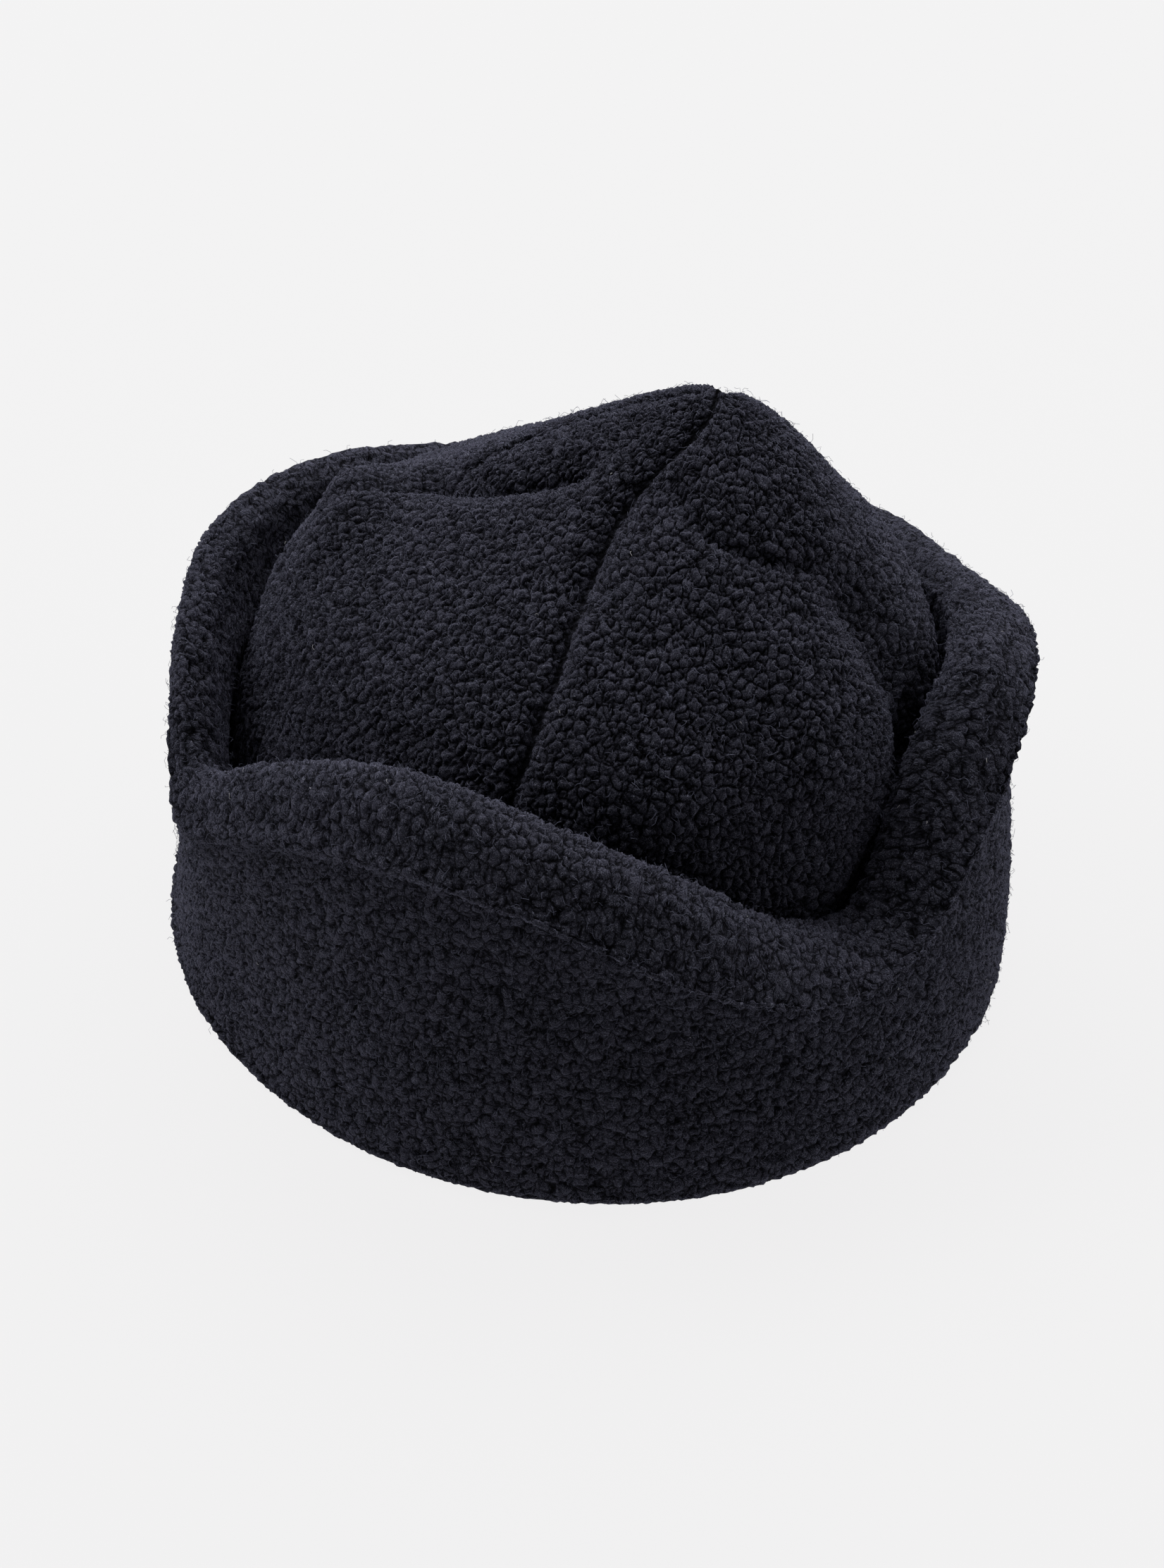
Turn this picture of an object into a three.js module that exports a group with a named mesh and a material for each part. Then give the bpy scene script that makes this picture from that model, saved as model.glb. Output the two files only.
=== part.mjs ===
// Watch cap of thick curly wool fleece, unworn, standing on the fold of its deep turned up cuff.
// Four curved panels make the crown. Their lower edges meet the fold at the bottom of the cuff,
// and the cuff rises outside them, low over the forehead and high over both ears.
// Millimetres, +Z up, forehead towards -Y. The origin is under the middle of the cap, on the surface
// that it stands on. Angles are in degrees about +Z, with 0 along +X.
import * as THREE from 'three';

const DEG = Math.PI / 180;

// Base fold of the cuff
const BASE_HALF_WIDTH = 102;
const BASE_HALF_LENGTH = 113;
const BASE_FOLD_DEPTH = 12;
const LEDGE_HEIGHT = 10;

// Moves the base's middle so that the origin is under the middle of the whole cap
const ORIGIN_SHIFT_X = -0.909;
const ORIGIN_SHIFT_Y = 2.179;

// Cloth
const CROWN_WALL = 4.5;
const SEAM_GAP = 0.3;
const CUFF_CLEARANCE = 0.6;
const SEAM_HALF_WIDTH = 3.2;
const TIP_RADIUS = 9;

// Mesh fineness. The crowding draws the columns of a panel towards its seams.
const CUFF_STATIONS = 80;
const PANEL_COLUMNS = 14;
const COLUMN_CROWDING = 0.11;
const PANEL_ROWS = [
  0, 1, 2, 2.5, 3, 3.5, 4, 4.35, 4.7, 5, 5.35, 5.7, 6, 6.35, 6.7, 7, 7.35, 7.7, 8, 8.5, 9, 9.5, 10,
];

// Level sections of the crown's outer face, from the ledge up to the tip. Each is a squared oval with
// its half width and half length, its shift from the base's middle and its squareness (2 is an
// ellipse), and the angles at which the four seams cross it.
const CROWN_SECTIONS = [
  // height, halfWidth, halfLength, shiftX, shiftY, square, frontLeft, frontRight, backRight, backLeft
  [10.3, 94.5, 105.5, 0, 0, 2.0, -133, -48, 45, 135],
  [32, 88.2, 97, 3.3, -2, 2.1, -133, -50, 45, 136],
  [55, 83.2, 91.5, 3.3, -2, 2.25, -133, -52, 45, 137],
  [78, 76.8, 86, 4.3, -2, 2.4, -133, -54, 45, 138],
  [97, 72.7, 77, 5.9, -5, 2.5, -133.2, -57, 45, 139],
  [110, 65, 62, 8, -8.5, 2.5, -134.3, -55, 45, 138],
  [121, 51, 48, 13, -9, 2.4, -137, -49, 45, 131],
  [131, 36.5, 35, 21, -9, 2.3, -146.8, -44, 45, 119],
  [140, 21.5, 22, 28, -8.5, 2.2, -157, -42, 44, 109],
  [147, 8, 9, 33, -7, 2.1, -142, -42, 40, 104],
  [151, 0.5, 0.5, 35, -6, 2.0, -120, -42, 40, 104],
];
const SECTION_COLUMN = { height: 0, halfWidth: 1, halfLength: 2, shiftX: 3, shiftY: 4, square: 5, seam: 6 };
const LAST_SECTION = CROWN_SECTIONS.length - 1;

// How far each seam draws the cloth in
const SEAM_DEPTHS = [1.2, 0.4, 1.4, 1.2];

// Folds of the crown. Each runs straight over the cloth between two places, given by angle and
// height, and sinks by its depth, or stands out as a roll where the depth is negative.
const CROWN_FOLDS = [
  // fromAngle, fromHeight, toAngle, toHeight, depth, halfWidth
  [129, 120, 165, 137, 3.6, 6],
  [126, 109, 142, 110, -6, 12],
  [133, 112, 136, 113, -4, 8],
  [-127, 140.5, -58, 125.7, 1.4, 6],
  [-52, 116, -55, 84, 6.0, 9],
  [-57, 80, -76, 56, 4.5, 6],
  [-78, 116, -76, 92, -2.5, 9],
  [-150, 138, -142, 129, 2.5, 8],
];
const FOLD_STEPS = 8;

// Stations round the cuff. The crest is the top of the turned edge beside the crown. The ridge is its
// outer shoulder, lower by the drop and proud of the base oval by the reach. The wall between base
// and ridge stands off the base oval by the lean, and the tuck draws it in under the ridge. A crease
// of 1 is a sharp ridge and 0 a round one. The lining is how far the inner face slopes in below the
// crest.
const CUFF_TABLE = [
  // angle, crestHeight, crestInset, ridgeDrop, ridgeReach, crease, wallLean, tuck, lining
  [-185, 76, 6.5, 11, 0.6, 0.4, -4, 1.5, 4],
  [-170, 90, 11, 15, 0, 0.3, -4.5, 1, 2],
  [-155, 102.5, 14.5, 14, -0.5, 0.4, -3, 2, 0.5],
  [-140, 108, 16, 13, 0.5, 0.6, -1.5, 3.5, 0],
  [-120, 102, 16, 12, 3, 0.9, -1, 6, 0],
  [-100, 84, 16, 16.5, 4, 1, -1, 6, 0],
  [-86, 66, 15.5, 9.5, 4, 1, -0.5, 5, 0],
  [-76, 60.5, 16.5, 4, 4, 1, 0, 5, 0],
  [-60, 86.5, 16.5, 12, 3.5, 1, 1, 5, 0],
  [-45, 102, 11, 11, 5.5, 1, 2.5, 5, 0],
  [-30, 100, 10, 8, 5.6, 1, 3, 3.5, 0],
  [-10, 88.5, 10, 8, 3.2, 0.7, 3, 3, 0],
  [15, 81, 10, 8, 3, 0.4, 2.5, 2, 0],
  [45, 76, 12, 8, 2, 0.3, 0, 1, 0],
  [75, 73.5, 12.5, 7, 0, 0.3, 0, 0.5, 0.5],
  [100, 82, 12, 6, -1, 0.3, -1, 0.5, 2.5],
  [125, 89, 11.5, 6, -6, 0.3, -4, 0, 6],
  [143, 92.5, 12, 5, -9, 0.3, -7, 0, 7],
  [158, 91, 10.5, 5, -7, 0.4, -6, 0, 6],
  [167, 84, 8.5, 6, -3, 0.4, -5, 0.5, 5],
];
const CUFF_COLUMN = {
  angle: 0, crest: 1, inset: 2, drop: 3, reach: 4, crease: 5, lean: 6, tuck: 7, lining: 8,
};

// Corners of the bottom fold: offset, height, and how much of the wall's lean each takes
const BASE_FOLD = [
  // offset, height, share
  [-12, 5, 0],
  [-11.2, 2, 0],
  [-9.2, 0, 0],
  [-7, 0, 0],
  [-5, 0, 0],
  [-2.6, 1, 0.1],
  [-0.8, 3.4, 0.35],
  [-0.1, 7.5, 0.7],
];
// The wall: where it starts above the fold, its corners as parts of the way up to the ridge with the
// share of the tuck that each takes, and how much of the reach it follows
const WALL_START = 7.5;
const WALL_PARTS = [[0.25, 0.1], [0.45, 0.35], [0.65, 0.75], [0.82, 0.95], [0.93, 1]];
const REACH_SHARE = 0.9;
// Half width of the ridge when sharp, and what a round one adds
const SHARP_CREASE = 1;
const ROUND_CREASE = 3.5;
// The band between ridge and crest, and how far it swells
const BAND_PARTS = [0.35, 0.62, 0.85];
const BAND_SWELL = 0.33;
// The roll under the crest: inward and down from it, and the share of the lining that each corner
// takes. Then the inner face: parts of the way down to its foot, and their shares.
const ROLL_UNDER = [[3.2, 1.8, 0.05], [5, 6, 0.15]];
const INNER_PARTS = [[0.25, 1], [0.5, 0.8], [0.75, 0.3]];
const INNER_FOOT = 12;
const WALL_THICKNESS = 7.2;

// Smooth curve through the rows of an open table, at a place counted in rows.
function alongRows(table, column, place) {
  const last = table.length - 1;
  const start = Math.min(Math.floor(Math.max(place, 0)), last - 1);
  const part = Math.min(Math.max(place, 0), last) - start;
  const value = (row) => table[Math.min(Math.max(row, 0), last)][column];
  const [p0, p1, p2, p3] = [value(start - 1), value(start), value(start + 1), value(start + 2)];
  const bend = part * (3 * (p1 - p2) + p3 - p0);
  return p1 + 0.5 * part * (p2 - p0 + part * (2 * p0 - 5 * p1 + 4 * p2 - p3 + bend));
}

// Smooth closed curve through the unequally spaced rows of a table round the cap.
function aroundRows(table, column, degrees) {
  const count = table.length;
  const turn = (value) => ((value % 360) + 360) % 360;
  const angle = turn(degrees - table[0][0]);
  let row = 0;
  while (row < count - 1 && angle >= table[row + 1][0] - table[0][0]) row += 1;
  const [before, next, after] = [(row + count - 1) % count, (row + 1) % count, (row + 2) % count];
  const span = turn(table[next][0] - table[row][0]);
  const spanBefore = turn(table[row][0] - table[before][0]);
  const spanAfter = turn(table[after][0] - table[next][0]);
  const [v0, v1, v2, v3] = [before, row, next, after].map((index) => table[index][column]);
  const slope = (v2 - v1) / span;
  const slopeIn = ((v1 - v0) / spanBefore * span + slope * spanBefore) / (span + spanBefore);
  const slopeOut = (slope * spanAfter + (v3 - v2) / spanAfter * span) / (span + spanAfter);
  const part = (angle - (table[row][0] - table[0][0])) / span;
  const square = part * part * (3 * (v2 - v1) - span * (2 * slopeIn + slopeOut));
  const cube = part ** 3 * (2 * (v1 - v2) + span * (slopeIn + slopeOut));
  return v1 + span * slopeIn * part + square + cube;
}

// Point on the smooth crown, before seams and folds, at an angle about the section's own middle.
function crownOval(angle, place) {
  const at = (column) => alongRows(CROWN_SECTIONS, SECTION_COLUMN[column], place);
  const square = at('square');
  const across = Math.abs(Math.cos(angle) / Math.max(at('halfWidth'), 0.2)) ** square;
  const along = Math.abs(Math.sin(angle) / Math.max(at('halfLength'), 0.2)) ** square;
  const radius = (across + along) ** (-1 / square);
  const x = at('shiftX') + radius * Math.cos(angle);
  const y = at('shiftY') + radius * Math.sin(angle);
  return new THREE.Vector3(x, y, at('height'));
}

// Distance of a point on the crown from its section's middle
function crownReach(point, place) {
  const x = point.x - alongRows(CROWN_SECTIONS, SECTION_COLUMN.shiftX, place);
  const y = point.y - alongRows(CROWN_SECTIONS, SECTION_COLUMN.shiftY, place);
  return Math.hypot(x, y);
}

// Place, counted in rows, of a height on the crown
function crownPlace(height) {
  let low = 0;
  let high = LAST_SECTION;
  for (let step = 0; step < 30; step += 1) {
    const middle = (low + high) / 2;
    if (alongRows(CROWN_SECTIONS, SECTION_COLUMN.height, middle) < height) low = middle;
    else high = middle;
  }
  return (low + high) / 2;
}

const foldLines = CROWN_FOLDS.map(([fromAngle, fromHeight, toAngle, toHeight]) => {
  const points = [];
  for (let step = 0; step <= FOLD_STEPS; step += 1) {
    const part = step / FOLD_STEPS;
    const angle = fromAngle + (toAngle - fromAngle) * part;
    const height = fromHeight + (toHeight - fromHeight) * part;
    points.push(crownOval(angle * DEG, crownPlace(height)));
  }
  return points;
});

function distanceToLine(point, line) {
  const nearest = new THREE.Vector3();
  const piece = new THREE.Line3();
  let best = Infinity;
  for (let step = 1; step < line.length; step += 1) {
    piece.set(line[step - 1], line[step]).closestPointToPoint(point, true, nearest);
    best = Math.min(best, nearest.distanceTo(point));
  }
  return best;
}

const seamAngle = (seam, place) => {
  const angle = alongRows(CROWN_SECTIONS, SECTION_COLUMN.seam + (seam % 4), place);
  return (angle + (seam > 3 ? 360 : 0)) * DEG;
};

// How deep seams and folds sink the crown's face at a point
function crownDepth(point, angle, place) {
  let depth = 0;
  CROWN_FOLDS.forEach((fold, index) => {
    const [foldDepth, halfWidth] = fold.slice(4);
    const distance = distanceToLine(point, foldLines[index]);
    depth += foldDepth * Math.exp(-((distance / halfWidth) ** 2));
  });
  const reach = crownReach(point, place);
  SEAM_DEPTHS.forEach((seamDepth, seam) => {
    const turn = Math.abs(Math.sin((angle - seamAngle(seam, place)) / 2)) * 2;
    depth += seamDepth * Math.exp(-((turn * reach / SEAM_HALF_WIDTH) ** 2));
  });
  return depth;
}

function crownNormal(angle, place) {
  const step = 1e-3;
  const low = Math.max(place - step, 0);
  const high = Math.min(place + step, LAST_SECTION - 1e-6);
  const around = crownOval(angle + step, place).sub(crownOval(angle - step, place));
  const upward = crownOval(angle, high).sub(crownOval(angle, low));
  return around.cross(upward).normalize();
}

// Point of the crown's cloth, at a depth below its outer face. The lower edge is cut level, and the
// cloth keeps out of its own way where the panels run together in the tip.
function crownPoint(angle, place, below) {
  const point = crownOval(angle, place);
  const normal = crownNormal(angle, place);
  const flat = Math.min(1, crownReach(point, place) / TIP_RADIUS);
  normal.x *= flat;
  normal.y *= flat;
  normal.z *= Math.min(1, place);
  return point.addScaledVector(normal, -(crownDepth(point, angle, place) * flat + below));
}

// A solid's skin from rings of points: rings[i][j], closed round j, and closed round i or left for
// end caps. The last strip is split the other way, so that two panels' edges match at their seam.
function closedSolid(rings, closedAround) {
  const [count, size] = [rings.length, rings[0].length];
  const index = [];
  const cells = closedAround ? count : count - 1;
  for (let i = 0; i < cells; i += 1) {
    for (let j = 0; j < size; j += 1) {
      const [a, b] = [i * size + j, i * size + (j + 1) % size];
      const [c, d] = [((i + 1) % count) * size + j, ((i + 1) % count) * size + (j + 1) % size];
      if (j < size - 1) index.push(a, c, b, b, c, d);
      else index.push(a, c, d, a, d, b);
    }
  }
  const geometry = new THREE.BufferGeometry();
  const positions = rings.flat().flatMap((point) => [point.x, point.y, point.z]);
  geometry.setAttribute('position', new THREE.Float32BufferAttribute(positions, 3));
  return { geometry, index, count, size };
}

// One panel of the crown, a shell between two seams
function crownPanel(seam) {
  const rings = PANEL_ROWS.map((place) => {
    const [from, to] = [seamAngle(seam, place), seamAngle(seam + 1, place)];
    const reach = crownReach(crownOval((from + to) / 2, place), place);
    const margin = SEAM_GAP / 2 / reach;
    const outer = [];
    const inner = [];
    for (let column = 0; column <= PANEL_COLUMNS; column += 1) {
      const even = column / PANEL_COLUMNS;
      const part = even - COLUMN_CROWDING * Math.sin(2 * Math.PI * even);
      const angle = from + margin + (to - from - 2 * margin) * part;
      outer.push(crownPoint(angle, place, 0));
      inner.push(crownPoint(angle, place, CROWN_WALL));
    }
    return inner.concat(outer.reverse());
  });
  const { geometry, index, count, size } = closedSolid(rings, false);
  for (let column = 0; column < PANEL_COLUMNS; column += 1) {
    const [a, b] = [column, column + 1];
    const [c, d] = [size - 1 - column, size - 2 - column];
    const top = (count - 1) * size;
    index.push(a, b, c, b, d, c);
    index.push(top + a, top + c, top + b, top + b, top + c, top + d);
  }
  geometry.setIndex(index);
  return geometry;
}

function baseRadius(angle) {
  const across = BASE_HALF_LENGTH * Math.cos(angle);
  const along = BASE_HALF_WIDTH * Math.sin(angle);
  return BASE_HALF_WIDTH * BASE_HALF_LENGTH / Math.hypot(across, along);
}

// Radius of the smooth crown about the base's middle at an angle and height
function crownRadius(angle, height) {
  const place = crownPlace(height);
  let own = angle;
  let point = crownOval(own, place);
  for (let step = 0; step < 6; step += 1) {
    const miss = angle - Math.atan2(point.y, point.x);
    own += Math.atan2(Math.sin(miss), Math.cos(miss));
    point = crownOval(own, place);
  }
  return Math.hypot(point.x, point.y);
}

// Outline of the cuff cut through at one angle: [offset from the base oval, height], from the ledge
// inside, round the bottom fold, up the outside, over the turned top and down the inside.
function cuffSection(degrees) {
  const at = (column) => aroundRows(CUFF_TABLE, CUFF_COLUMN[column], degrees);
  const [crest, inset, drop, reach, lean] = [at('crest'), at('inset'), at('drop'), at('reach'), at('lean')];
  const ridge = crest - drop;
  const points = [[-BASE_FOLD_DEPTH, LEDGE_HEIGHT]];
  for (const [offset, height, share] of BASE_FOLD) points.push([offset + share * lean, height]);
  for (const [part, tucked] of WALL_PARTS) {
    const bulge = lean * (1 - part ** 4) + REACH_SHARE * reach * part ** 4;
    points.push([bulge - tucked * at('tuck'), WALL_START + (ridge - WALL_START) * part]);
  }
  const round = SHARP_CREASE + ROUND_CREASE * (1 - at('crease'));
  const band = Math.hypot(inset + reach, drop);
  points.push([reach - 0.15 * round, ridge - round]);
  points.push([reach, ridge]);
  points.push([reach - (inset + reach) * round / band, ridge + 1.3 * drop * round / band]);
  for (const part of BAND_PARTS) {
    const swell = BAND_SWELL * Math.sin(Math.PI * part);
    points.push([reach - (inset + reach) * part, ridge + drop * (part + swell)]);
  }
  points.push([-inset, crest]);
  const lining = at('lining');
  const inner = ROLL_UNDER.map(([inward, down, share]) => [-inset - inward - share * lining, crest - down]);
  const [rollInward, rollDown] = ROLL_UNDER[ROLL_UNDER.length - 1];
  for (const [part, share] of INNER_PARTS) {
    const offset = -inset - rollInward + (inset + rollInward - WALL_THICKNESS) * part - share * lining;
    inner.push([offset, crest - rollDown + (INNER_FOOT - crest + rollDown) * part]);
  }
  inner.push([-WALL_THICKNESS, INNER_FOOT]);
  const radius = baseRadius(degrees * DEG);
  for (const point of inner) {
    const clear = crownRadius(degrees * DEG, Math.max(point[1], LEDGE_HEIGHT + 0.3)) + CUFF_CLEARANCE;
    point[0] = Math.max(point[0], clear - radius);
  }
  return [...points, ...inner, [-WALL_THICKNESS, LEDGE_HEIGHT]];
}

function cuffRing() {
  const rings = [];
  for (let station = 0; station < CUFF_STATIONS; station += 1) {
    const degrees = (station * 360) / CUFF_STATIONS;
    const radius = baseRadius(degrees * DEG);
    const ring = cuffSection(degrees).map(([offset, height]) => new THREE.Vector3(
      (radius + offset) * Math.cos(degrees * DEG),
      (radius + offset) * Math.sin(degrees * DEG),
      height,
    ));
    rings.push(ring);
  }
  const { geometry, index } = closedSolid(rings, true);
  geometry.setIndex(index);
  return geometry;
}

function woolFleece(color) {
  return new THREE.MeshStandardMaterial({ color, roughness: 1, metalness: 0 });
}

function addPiece(group, name, geometry, color) {
  geometry.computeVertexNormals();
  const mesh = new THREE.Mesh(geometry, woolFleece(color));
  mesh.name = name;
  group.add(mesh);
}

const cap = new THREE.Group();
const PANEL_NAMES = ['crown_panel_front', 'crown_panel_right', 'crown_panel_back', 'crown_panel_left'];
PANEL_NAMES.forEach((name, seam) => addPiece(cap, name, crownPanel(seam), 0x1b1c24));
addPiece(cap, 'cuff', cuffRing(), 0x1a1b23);
cap.position.set(ORIGIN_SHIFT_X, ORIGIN_SHIFT_Y, 0);

export default cap;
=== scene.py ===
import math

import bpy
import numpy as np
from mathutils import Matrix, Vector


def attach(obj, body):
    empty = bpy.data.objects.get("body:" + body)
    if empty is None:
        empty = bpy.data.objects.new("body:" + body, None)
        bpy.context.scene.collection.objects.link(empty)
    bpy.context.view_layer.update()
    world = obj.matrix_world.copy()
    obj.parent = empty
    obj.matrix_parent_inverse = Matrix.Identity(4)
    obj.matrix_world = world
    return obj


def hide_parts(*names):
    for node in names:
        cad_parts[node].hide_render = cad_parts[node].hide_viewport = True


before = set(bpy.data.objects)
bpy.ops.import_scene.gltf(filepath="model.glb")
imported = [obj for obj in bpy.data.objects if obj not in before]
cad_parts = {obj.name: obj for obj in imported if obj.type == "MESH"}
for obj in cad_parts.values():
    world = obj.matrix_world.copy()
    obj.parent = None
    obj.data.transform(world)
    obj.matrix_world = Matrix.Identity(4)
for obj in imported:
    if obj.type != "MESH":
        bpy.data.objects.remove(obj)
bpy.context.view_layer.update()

MM = 0.001

# Crown panels
# Four panels of thick wool fleece, cut from the roll and sewn edge to edge so that their curly face
# is outside. The seams draw the cloth in, and the unworn crown has slumped into soft folds.
# From the middle of the cuff's base oval to the frame's origin, in millimetres
ORIGIN_SHIFT = (-0.909, 2.179)
CROWN_WALL = 4.5
# How far the sewn edges of two panels press into each other
SEAM_LAP = 0.16
SEAM_HALF_WIDTH = 3.2
# Within this distance of the tip the walls thin out and the folds end
TIP_RADIUS = 9
# Half width of what is left open where the four panels meet
TIP_HOLE = 0.03

# Level sections of the crown's outer face, in millimetres and degrees
CROWN_SECTIONS = np.array([
    # height, half_width, half_length, shift_x, shift_y, square,
    # and the seams' angles: front_left, front_right, back_right, back_left
    (10.3, 94.5, 105.5, 0, 0, 2.0, -133, -48, 45, 135),
    (32, 88.2, 97, 3.3, -2, 2.1, -133, -50, 45, 136),
    (55, 83.2, 91.5, 3.3, -2, 2.25, -133, -52, 45, 137),
    (78, 76.8, 86, 4.3, -2, 2.4, -133, -54, 45, 138),
    (97, 72.7, 77, 5.9, -5, 2.5, -133.2, -57, 45, 139),
    (110, 65, 62, 8, -8.5, 2.5, -134.3, -55, 45, 138),
    (121, 51, 48, 13, -9, 2.4, -137, -49, 45, 131),
    (131, 36.5, 35, 21, -9, 2.3, -146.8, -44, 45, 119),
    (140, 21.5, 22, 28, -8.5, 2.2, -157, -42, 44, 109),
    (147, 8, 9, 33, -7, 2.1, -142, -42, 40, 104),
    (151, TIP_HOLE, TIP_HOLE, 35, -6, 2.0, -120, -42, 40, 104),
], float)
HEIGHT, HALF_WIDTH, HALF_LENGTH, SHIFT_X, SHIFT_Y, SQUARE, FIRST_SEAM = range(7)
LAST_SECTION = len(CROWN_SECTIONS) - 1
# How finely heights on the crown are looked up, and lengths up it summed
LOOKUP_PLACES, FINE_PLACES = 2001, 4001
NORMAL_STEP = 1e-3
# Depths of the seams' soft hollows, in the order of the angles above
SEAM_DEPTHS = (1.2, 0.4, 1.4, 1.2)
# Where the thread pulls the cloth into a narrow crease, at the bottom of each seam's hollow
STITCH_DEPTHS = (1.6, 0, 1.2, 1.2)
STITCH_HALF_WIDTH = 1.8
# How much of their height the curls keep in each stitched crease. The flattened curls there take the
# painted crevice shade.
STITCH_NUBS = (0.3, 0.7, 0.4, 0.4)

# Folds over the crown, each between two places on it. A negative depth is a roll.
CROWN_FOLDS = [
    # from_angle, from_height, to_angle, to_height, depth, half_width
    (129, 120, 165, 137, 3.6, 6),
    (126, 109, 142, 110, -6, 12),
    (133, 112, 136, 113, -4, 8),
    (-127, 140.5, -58, 125.7, 1.4, 6),
    (-52, 116, -55, 84, 6.0, 9),
    (-57, 80, -76, 56, 4.5, 6),
    (-78, 116, -76, 92, -2.5, 9),
    (-150, 138, -142, 129, 2.5, 8),
]
# Sharp creases at the bottom of the two folds that show
CROWN_CREASES = [
    # from_angle, from_height, to_angle, to_height, depth, half_width
    (-129, 140.3, -58, 125, 1.7, 1.8),
    (130, 119.5, 163, 136.5, 2.4, 1.8),
]
# The curls lie almost flat this close to a crease, and the cloth there takes the painted crevice shade
CREASE_SHADE = 1.2
CREASE_NUB = 0.1
# A fold's line is cut into this many straight pieces
FOLD_STEPS = 8

CROWN_PANELS = [
    # name, first seam, columns, row spacing, and the height below which the cuff hides it
    ("crown_panel_front", 0, 288, 0.5, 52),
    ("crown_panel_right", 1, 216, 0.7, 62),
    ("crown_panel_back", 2, 216, 0.7, 62),
    ("crown_panel_left", 3, 288, 0.5, 66),
]
HIDDEN_SPACING = 4
# One inner cell lies behind this many outer cells each way, and its cloth is nearly smooth and takes the
# painted crevice shade
INNER_STEP = 6
INSIDE_NUB = 0.15


def along_rows(column, place):
    """Smooth curve through a column of the crown's sections, at places counted in rows."""
    values = CROWN_SECTIONS[:, column]
    place = np.clip(place, 0, LAST_SECTION)
    start = np.minimum(place.astype(int), LAST_SECTION - 1)
    part = place - start
    p0, p1, p2, p3 = (values[np.clip(start + step, 0, LAST_SECTION)] for step in (-1, 0, 1, 2))
    bend = part * (3 * (p1 - p2) + p3 - p0)
    return p1 + 0.5 * part * (p2 - p0 + part * (2 * p0 - 5 * p1 + 4 * p2 - p3 + bend))


def crown_place(height):
    """Place, counted in rows, of a height on the crown."""
    places = np.linspace(0, LAST_SECTION, LOOKUP_PLACES)
    return np.interp(height, along_rows(HEIGHT, places), places)


def crown_oval(angle, place):
    """Points of the smooth crown at angles about each section's own middle."""
    angle, place = np.broadcast_arrays(angle, place)
    square = along_rows(SQUARE, place)
    across = np.abs(np.cos(angle) / np.maximum(along_rows(HALF_WIDTH, place), TIP_HOLE)) ** square
    along = np.abs(np.sin(angle) / np.maximum(along_rows(HALF_LENGTH, place), TIP_HOLE)) ** square
    radius = (across + along) ** (-1 / square)
    x = along_rows(SHIFT_X, place) + radius * np.cos(angle)
    y = along_rows(SHIFT_Y, place) + radius * np.sin(angle)
    return np.stack([x, y, along_rows(HEIGHT, place)], -1)


def crown_reach(points, place):
    """Distance of points on the crown from their section's middle."""
    x, y = points[..., 0] - along_rows(SHIFT_X, place), points[..., 1] - along_rows(SHIFT_Y, place)
    return np.hypot(x, y)


def crown_normal(angle, place):
    """Directions straight out of the smooth crown."""
    low = np.maximum(place - NORMAL_STEP, 0)
    high = np.minimum(place + NORMAL_STEP, LAST_SECTION - 1e-6)
    around = crown_oval(angle + NORMAL_STEP, place) - crown_oval(angle - NORMAL_STEP, place)
    normal = np.cross(around, crown_oval(angle, high) - crown_oval(angle, low))
    return normal / np.linalg.norm(normal, axis=-1, keepdims=True)


def line_distance(points, line):
    """Distance of points from a line of straight pieces."""
    nearest = np.full(points.shape[:-1], np.inf)
    for start, end in zip(line[:-1], line[1:]):
        piece = end - start
        part = np.clip((points - start) @ piece / (piece @ piece), 0, 1)
        nearest = np.minimum(nearest, np.linalg.norm(points - start - part[..., None] * piece, axis=-1))
    return nearest


def seam_angle(seam, place):
    """Angle of a seam, where seam 4 is the first one again, a full turn on."""
    return np.radians(along_rows(FIRST_SEAM + seam % 4, place) + (360 if seam > 3 else 0))


def seam_distance(seam, angle, place, points):
    """Distance of points from a seam, across the crown."""
    return 2 * np.abs(np.sin((angle - seam_angle(seam, place)) / 2)) * crown_reach(points, place)


def fold_share(points, fold):
    """How far a fold reaches points: 1 on its line, falling to 0 beside it."""
    from_angle, from_height, to_angle, to_height, _, half_width = fold
    part = np.linspace(0, 1, FOLD_STEPS + 1)
    angles = np.radians(from_angle + (to_angle - from_angle) * part)
    line = crown_oval(angles, crown_place(from_height + (to_height - from_height) * part))
    return np.exp(-(line_distance(points, line) / half_width) ** 2)


def crown_depth(points, angle, place):
    """How deep the folds, seams and stitches sink the crown's face."""
    depth = np.zeros(points.shape[:-1])
    for fold in CROWN_FOLDS + CROWN_CREASES:
        depth += fold[4] * fold_share(points, fold)
    for seam, (seam_depth, stitch_depth) in enumerate(zip(SEAM_DEPTHS, STITCH_DEPTHS)):
        distance = seam_distance(seam, angle, place, points)
        depth += seam_depth * np.exp(-(distance / SEAM_HALF_WIDTH) ** 2)
        depth += stitch_depth * np.exp(-(distance / STITCH_HALF_WIDTH) ** 2)
    return depth


def crease_free(points):
    """How much of their height the curls keep beside the creases: 1 away from them."""
    free = np.ones(points.shape[:-1])
    for crease in CROWN_CREASES:
        free -= (1 - CREASE_NUB) * fold_share(points, crease[:5] + (CREASE_SHADE,))
    return np.maximum(free, CREASE_NUB)


def crown_point(angle, place, below):
    """Points of the cloth at a depth below its outer face, thinning out in the tip."""
    points = crown_oval(angle, place)
    normal = crown_normal(angle, place)
    flat = np.minimum(1, crown_reach(points, place) / TIP_RADIUS)
    normal[..., :2] *= flat[..., None]
    normal[..., 2] *= np.minimum(1, place)
    depth = crown_depth(points, angle, place) * flat + below
    return points - depth[..., None] * normal


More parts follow.
